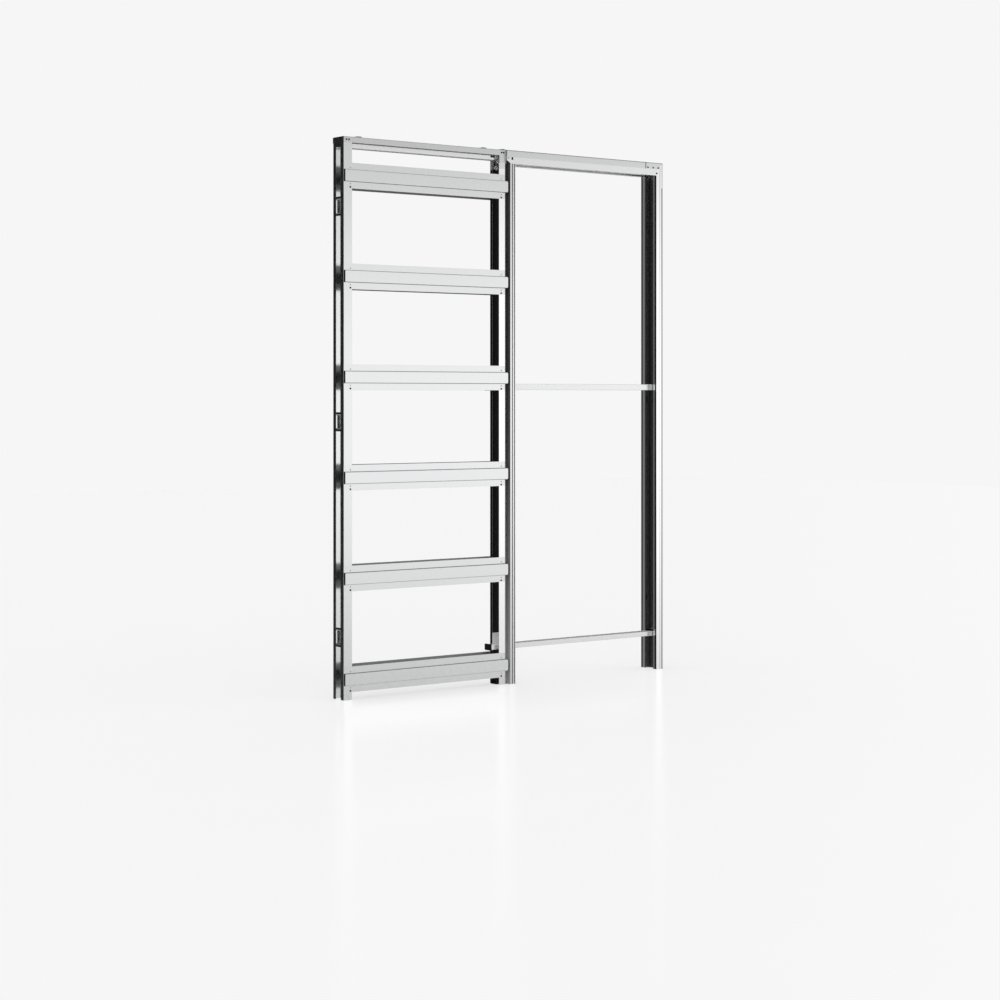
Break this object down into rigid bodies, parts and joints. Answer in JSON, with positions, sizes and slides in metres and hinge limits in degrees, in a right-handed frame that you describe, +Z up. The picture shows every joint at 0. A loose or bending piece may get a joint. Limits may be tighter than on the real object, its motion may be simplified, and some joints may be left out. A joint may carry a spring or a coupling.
{
  "type": "pocket door frame",
  "caption": "Metal frame for a sliding pocket door: railed steel pocket with an open slot, lined passage, strike jamb and overhead running track.",
  "frame": {"origin": "centre of the frame's outline on the floor", "axes": "+X along the wall from the pocket to the strike jamb, +Y through the wall, +Z up"},
  "size_m": [1.645, 0.1, 2.195],
  "materials": {
    "galvanised_steel": "bright galvanised sheet",
    "aluminium": "satin extruded aluminium",
    "black_plastic": "moulded matte"
  },
  "bodies": {
    "root": {"back_clip_bottom": "galvanised_steel", "back_clip_middle": "galvanised_steel", "back_clip_top": "galvanised_steel", "back_upright_front": "galvanised_steel", "back_upright_rear": "galvanised_steel", "corner_plate_front": "aluminium", "corner_plate_rear": "aluminium", "head_trim_front": "aluminium", "head_trim_rear": "aluminium", "mouth_bracket_front": "galvanised_steel", "mouth_bracket_rear": "galvanised_steel", "mouth_floor_plate": "galvanised_steel", "mouth_lining_front": "black_plastic", "mouth_lining_rear": "black_plastic", "mouth_post_front": "galvanised_steel", "mouth_post_rear": "galvanised_steel", "mouth_trim_front": "aluminium", "mouth_trim_rear": "aluminium", "passage_header": "galvanised_steel", "pocket_header": "galvanised_steel", "rail_front_1": "galvanised_steel", "rail_front_2": "galvanised_steel", "rail_front_3": "galvanised_steel", "rail_front_4": "galvanised_steel", "rail_front_5": "galvanised_steel", "rail_front_6": "galvanised_steel", "rail_rear_1": "galvanised_steel", "rail_rear_2": "galvanised_steel", "rail_rear_3": "galvanised_steel", "rail_rear_4": "galvanised_steel", "rail_rear_5": "galvanised_steel", "rail_rear_6": "galvanised_steel", "spacer_bottom": "galvanised_steel", "spacer_bottom_mouth_cap": "black_plastic", "spacer_bottom_strike_cap": "black_plastic", "spacer_middle": "galvanised_steel", "spacer_middle_mouth_cap": "black_plastic", "spacer_middle_strike_cap": "black_plastic", "strike_jamb": "aluminium", "top_clip_1": "galvanised_steel", "top_clip_2": "galvanised_steel", "top_clip_3": "galvanised_steel", "track": "aluminium"}
  },
  "joints": []
}
